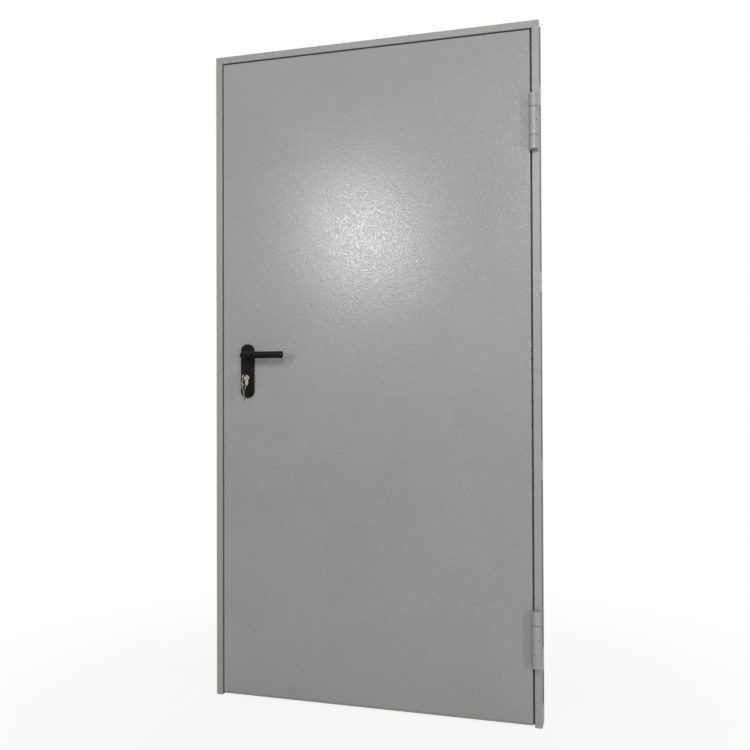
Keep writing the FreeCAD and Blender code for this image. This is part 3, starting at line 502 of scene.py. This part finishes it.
def set_out(name, template, places, body, slot, turn=0.0):
    """Copies of one small mesh on points, each turned to the direction that its point faces."""
    model = bpy.data.objects.new(name + "_model", template)
    bpy.context.scene.collection.objects.link(model)
    tree = Nodes(name, Model=model, Turn=turn, Finish=FINISHES[slot])
    facing = tree.node("GeometryNodeInputNamedAttribute", {"data_type": "FLOAT_VECTOR"}, {"Name": "facing"})
    turned = tree.node("FunctionNodeAlignRotationToVector", {"axis": "Z"}, {"Vector": facing})
    spin = tree.node("FunctionNodeAxisAngleToRotation", {}, {"Axis": (0, 0, 1), "Angle": tree.input("Turn")})
    rotation = tree.node("FunctionNodeRotateRotation", {"rotation_space": "LOCAL"},
                         {"Rotation": turned, "Rotate By": spin})
    copy = tree.node("GeometryNodeObjectInfo", {}, {"Object": tree.input("Model")}, "Geometry")
    spread = tree.node("GeometryNodeInstanceOnPoints", {},
                       {"Points": tree.input("Geometry"), "Instance": copy, "Rotation": rotation})
    tree.finish(spread)
    mesh = tree.mesh(name, points(name, places))
    bpy.data.objects.remove(model)
    piece(name, mesh, body, slot)


# The seals

def gasket():
    """The door seal in one run up, over and down the stop: a foot and a bulb that reaches to the leaf."""
    leaf_gap = 0.4 * MM
    foot_edge = 0.9 * MM
    foot_rise = 1.3 * MM
    foot_slope = 2 * MM
    bulb_start = 1.6 * MM
    bulb_half_width = 3.6 * MM
    bulb_steps = 8
    foot_low = low("lock_side_gasket")
    inner_edge = foot_low.x
    top_edge = high("head_gasket").z
    right_edge = high("hinge_side_gasket").x
    width = high("lock_side_gasket").x - inner_edge
    reach = STOP - LIP_BACK - leaf_gap
    bulb = Vector((width * 0.5, reach * 0.56))
    outline = [(0, 0), (width, 0), (width, foot_edge), (width - foot_slope, foot_rise)]
    for step in range(bulb_steps + 1):
        angle = math.radians(-35 + 250 * step / bulb_steps)
        outline.append((bulb.x + bulb_half_width * math.cos(angle), bulb.y + reach * 0.44 * math.sin(angle)))
    outline += [(bulb_start, foot_rise), (0, foot_edge)]
    shape = bmesh.new()
    rows = []
    for across, out in outline:
        y = STOP - out
        rows.append([shape.verts.new(corner) for corner in (
            (inner_edge + across, y, foot_low.z), (inner_edge + across, y, top_edge - across),
            (right_edge - across, y, top_edge - across), (right_edge - across, y, foot_low.z))])
    for i, row in enumerate(rows):
        after = rows[(i + 1) % len(rows)]
        for j in range(3):
            shape.faces.new((row[j], row[j + 1], after[j + 1], after[j]))
    shape.faces.new([row[0] for row in rows])
    shape.faces.new([row[3] for row in rows])
    made = piece("door_seal", mesh_of("door_seal", shape), "frame", "gasket_rubber", 40)
    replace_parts(made, "lock_side_gasket", "hinge_side_gasket", "head_gasket")


def bottom_seal():
    """The seal strip under the leaf: a flat web with a bead along its lower edge."""
    tray_low, tray_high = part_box("leaf_front_tray")
    end_gap = 1 * MM
    # In millimetres, back from the tray's face and up from its lower edge
    outline = [(1.6, 0), (1.6, -3.4), (0.9, -4.2), (1.2, -5.4), (2.4, -6.0), (3.6, -5.4), (3.9, -4.2),
               (3.2, -3.4), (3.2, -0.8), (9.0, -0.8), (9.0, 0)]
    shape = bmesh.new()
    ends = []
    for x in (tray_low.x + end_gap, tray_high.x - end_gap):
        ends.append([shape.verts.new((x, tray_low.y + y * MM, tray_low.z + z * MM)) for y, z in outline])
    for i in range(len(outline)):
        j = (i + 1) % len(outline)
        shape.faces.new((ends[0][i], ends[0][j], ends[1][j], ends[1][i]))
    for end in ends:
        shape.faces.new(end)
    piece("bottom_seal", mesh_of("bottom_seal", shape), "leaf", "gasket_rubber", 40)


gasket()
bottom_seal()


# Small fixings

def fixing_holes(*names):
    """The centres of the wall fixings in these mounts of the record, in order along their row."""
    centres = []
    for mount in [MOUNTS[name] for name in names]:
        x, y, z = mount["pos_m"]
        across = mount["dims"].get("spacing_x_mm", 0) * MM / 2
        up = mount["dims"].get("spacing_y_mm", 0) * MM / 2
        centres += [Vector((x + side * across, y, z + side * up)) for side in (-1, 1)]
    return sorted(centres, key=lambda centre: (centre.x, centre.z))


def fixing_caps():
    """Black caps in the holes of the frame's wall fixings."""
    shank = 5 * MM
    shank_end = -3 * MM
    brim = 7.2 * MM
    cap = lathe("fixing_cap", [(0, shank_end), (shank, shank_end), (shank + 0.2 * MM, 0), (brim, 0),
                               (brim, 0.4 * MM), (brim - 1.2 * MM, 1.1 * MM), (0, 1.3 * MM)])
    places = [((SOFFIT_LEFT, hole.y, hole.z), (1, 0, 0))
              for hole in fixing_holes("lock_side_outer_fixings", "lock_side_inner_fixings")]
    places += [((SOFFIT_RIGHT, hole.y, hole.z), (-1, 0, 0))
               for hole in fixing_holes("hinge_side_outer_fixings", "hinge_side_inner_fixings")]
    places += [((hole.x, hole.y, SOFFIT_TOP), (0, 0, -1)) for hole in fixing_holes("head_fixings")]
    set_out("fixing_caps", cap, places, "frame", "black_nylon")


def lock_screws():
    """Countersunk screws in the forend, the strike plate and the rear plate."""
    head = 8 * MM
    plate_head = 7 * MM
    lift = 0.15 * MM
    plate_lift = 0.1 * MM
    inset = 9 * MM
    plate_inset = 11 * MM
    cylinder_screw_drop = 12 * MM
    lock_y = middle("mortice_lock").y

    case_low, case_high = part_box("mortice_lock")
    heights = (case_low.z + inset, case_high.z - inset, CYLINDER_Z - cylinder_screw_drop)
    places = [((case_low.x - lift, lock_y, z), (-1, 0, 0)) for z in heights]
    set_out("forend_screws", cross_head("forend_screw", head), places, "leaf", "bright_steel", turn=0.6)

    strike_low, strike_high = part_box("strike_plate")
    heights = (strike_low.z + inset, strike_high.z - inset)
    places = [((strike_high.x + lift, lock_y, z), (1, 0, 0)) for z in heights]
    set_out("strike_screws", cross_head("strike_screw", head), places, "frame", "bright_steel", turn=0.3)

    plate_low, plate_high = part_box("rear_plate")
    heights = (plate_high.z - plate_inset, plate_low.z + plate_inset)
    places = [((LEVER.x, PLATE_REAR + plate_lift, z), (0, 1, 0)) for z in heights]
    set_out("rear_plate_screws", cross_head("plate_screw", plate_head), places, "leaf", "bright_steel",
            turn=0.2)


fixing_caps()
lock_screws()


# The key ring and the far face of the cylinder

def split_ring():
    """The key ring as it is wound: nearly two turns of flat wire, with one short step between them."""
    wide = 0.65 * MM
    thick = 0.42 * MM
    corner = 0.2 * MM
    half_lift = 0.44 * MM
    first_degree = 18
    last_degree = 702
    step_start = 345
    step_length = 30
    ring_turn = math.radians(-5)
    ring_low, ring_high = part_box("key_ring")
    radius = (ring_high.z - ring_low.z) / 2 - 0.9 * MM
    section = [(wide, thick - corner), (wide - corner, thick), (corner - wide, thick),
               (-wide, thick - corner), (-wide, corner - thick), (corner - wide, -thick),
               (wide - corner, -thick), (wide, corner - thick)]
    shape = bmesh.new()
    rings = []
    for degree in range(first_degree, last_degree + 1, 6):
        angle = math.radians(degree)
        step = min(max((degree - step_start) / step_length, 0), 1)
        lift = (2 * step * step * (3 - 2 * step) - 1) * half_lift
        rings.append([shape.verts.new(((radius + out) * math.cos(angle), (radius + out) * math.sin(angle),
                                       lift + up)) for out, up in section])
    for near, far in zip(rings, rings[1:]):
        for i in range(len(section)):
            j = (i + 1) % len(section)
            shape.faces.new((near[i], near[j], far[j], far[i]))
    shape.faces.new(rings[0])
    shape.faces.new(rings[-1])
    mesh = mesh_of("split_ring", shape)
    turn = Matrix.Rotation(ring_turn, 4, "Z") @ Matrix.Rotation(math.radians(90), 4, "X")
    mesh.transform(Matrix.Translation(middle("key_ring")) @ turn)
    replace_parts(piece("split_ring", mesh, "keys", "key_nickel", 40), "key_ring")


def rear_plug():
    """The turning plug on the push side of the cylinder, a low disc with a bevelled edge, and a thin black
    slab on its face as painted shade for its keyway.
    """
    edge = 6.4 * MM
    face = 0.5 * MM
    # Size and shift of the black slab of painted shade that stands for the keyway
    keyway_shade_size = (1.5 * MM, 0.3 * MM, 8.2 * MM, 1)
    keyway_shade_shift = Vector((0, 0.4 * MM, -0.6 * MM))
    spot = Vector((LEVER.x, high("lock_cylinder").y, CYLINDER_Z))
    plug = lathe("rear_plug", [(0, 0.0), (edge, 0.0), (edge, 0.25 * MM), (edge - 0.3 * MM, face),
                               (0, face)], 48)
    plug.transform(Matrix.Translation(spot) @ Matrix.Rotation(math.radians(-90), 4, "X"))
    piece("rear_plug", plug, "leaf", "cylinder_brass")
    # A thin black slab flush with the plug's face: painted shade standing in for the keyway's opening
    keyway_shade = bmesh.new()
    bmesh.ops.create_cube(keyway_shade, size=1)
    place = Matrix.Translation(spot + keyway_shade_shift) @ Matrix.Diagonal(keyway_shade_size)
    bmesh.ops.transform(keyway_shade, matrix=place, verts=keyway_shade.verts)
    piece("rear_keyway", mesh_of("rear_keyway", keyway_shade), "leaf", "black_nylon")


split_ring()
rear_plug()


# The room

def floor():
    """A pale floor that fades into the background and keeps the door's shadow."""
    near_share = 0.86
    fade_start = 0.6
    fade_end = 1.9
    to_door_middle = (0.5, 0, 0)
    shape = bmesh.new()
    bmesh.ops.create_grid(shape, x_segments=1, y_segments=1, size=14)
    made = bpy.data.objects.new("floor", mesh_of("floor", shape))
    bpy.context.scene.collection.objects.link(made)
    pale = Finish("pale_floor", base_color=(0.80, 0.80, 0.80), roughness=0.9)
    seen = pale.node("ShaderNodeLightPath", {}, {}, "Is Camera Ray")
    white = pale.node("ShaderNodeEmission", {}, {"Color": (1, 1, 1), "Strength": 1.0})
    away = pale.node("ShaderNodeVectorMath", {"operation": "LENGTH"},
                     {0: pale.place(to_door_middle)}, "Value")
    share = near_share + (1 - near_share) * away.between(fade_start, fade_end)
    surface = pale.node("ShaderNodeMixShader", {},
                        {0: share * seen, 1: Socket(pale, pale.shader.outputs[0]), 2: white})
    pale.tree.links.new(surface.plug, pale.tree.nodes["Material Output"].inputs["Surface"])
    made.data.materials.append(pale.material)


# How strongly the room lights what is neither seen directly nor mirrored

AMBIENT = 0.40


def world():
    """Even soft light all round, white where it is seen directly or in metal."""
    sky = bpy.data.worlds.new("studio")
    bpy.context.scene.world = sky
    sky.use_nodes = True
    tree = sky.node_tree
    background = tree.nodes["Background"]
    background.inputs["Color"].default_value = (1, 1, 1, 1)
    path = tree.nodes.new("ShaderNodeLightPath")
    seen = tree.nodes.new("ShaderNodeMath")
    seen.operation = "MAXIMUM"
    tree.links.new(path.outputs["Is Camera Ray"], seen.inputs[0])
    tree.links.new(path.outputs["Is Glossy Ray"], seen.inputs[1])
    strength = tree.nodes.new("ShaderNodeMapRange")
    strength.inputs["To Min"].default_value = AMBIENT
    strength.inputs["To Max"].default_value = 1.0
    tree.links.new(seen.outputs[0], strength.inputs["Value"])
    tree.links.new(strength.outputs[0], background.inputs["Strength"])


def lamp(name, place, target, power, width, height, colour=(1, 1, 1)):
    """A soft box at a place, turned to a target."""
    light = bpy.data.lights.new(name, "AREA")
    light.shape = "RECTANGLE"
    light.size = width
    light.size_y = height
    light.energy = power
    light.color = colour
    made = bpy.data.objects.new(name, light)
    made.location = place
    made.rotation_euler = (Vector(target) - Vector(place)).to_track_quat("-Z", "Y").to_euler()
    bpy.context.scene.collection.objects.link(made)


def camera():
    """The camera that took the photograph."""
    made = bpy.data.objects.new("camera", bpy.data.cameras.new("camera"))
    made.data.lens = CAMERA_LENS
    made.location = CAMERA_PLACE
    made.rotation_euler = [math.radians(angle) for angle in CAMERA_TURN]
    bpy.context.scene.collection.objects.link(made)
    bpy.context.scene.camera = made


floor()
world()
# Mirrored in the leaf as the bright spot
lamp("glare_box", (-1.31, -2.55, 1.94), (-0.54, 0, 1.48), 9.9, 0.44, 0.56, (0.93, 0.92, 1.0))
# The main light from above the camera, which casts the shadows
lamp("ceiling_box", (0.55, -3.5, 2.50), (-0.6, 0, 1.2), 42, 0.60, 0.60)
# A narrow light from the right for the hinges and the edge of the frame
lamp("right_box", (2.5, -2.0, 1.25), (-0.2, 0, 1.05), 26, 0.20, 1.5, (1.0, 0.99, 0.97))
# Light on the push side
lamp("back_box", (-0.9, 3.4, 2.3), (-0.5, 0, 1.1), 40, 0.6, 0.6)
camera()
bpy.context.scene.view_settings.view_transform = "Standard"
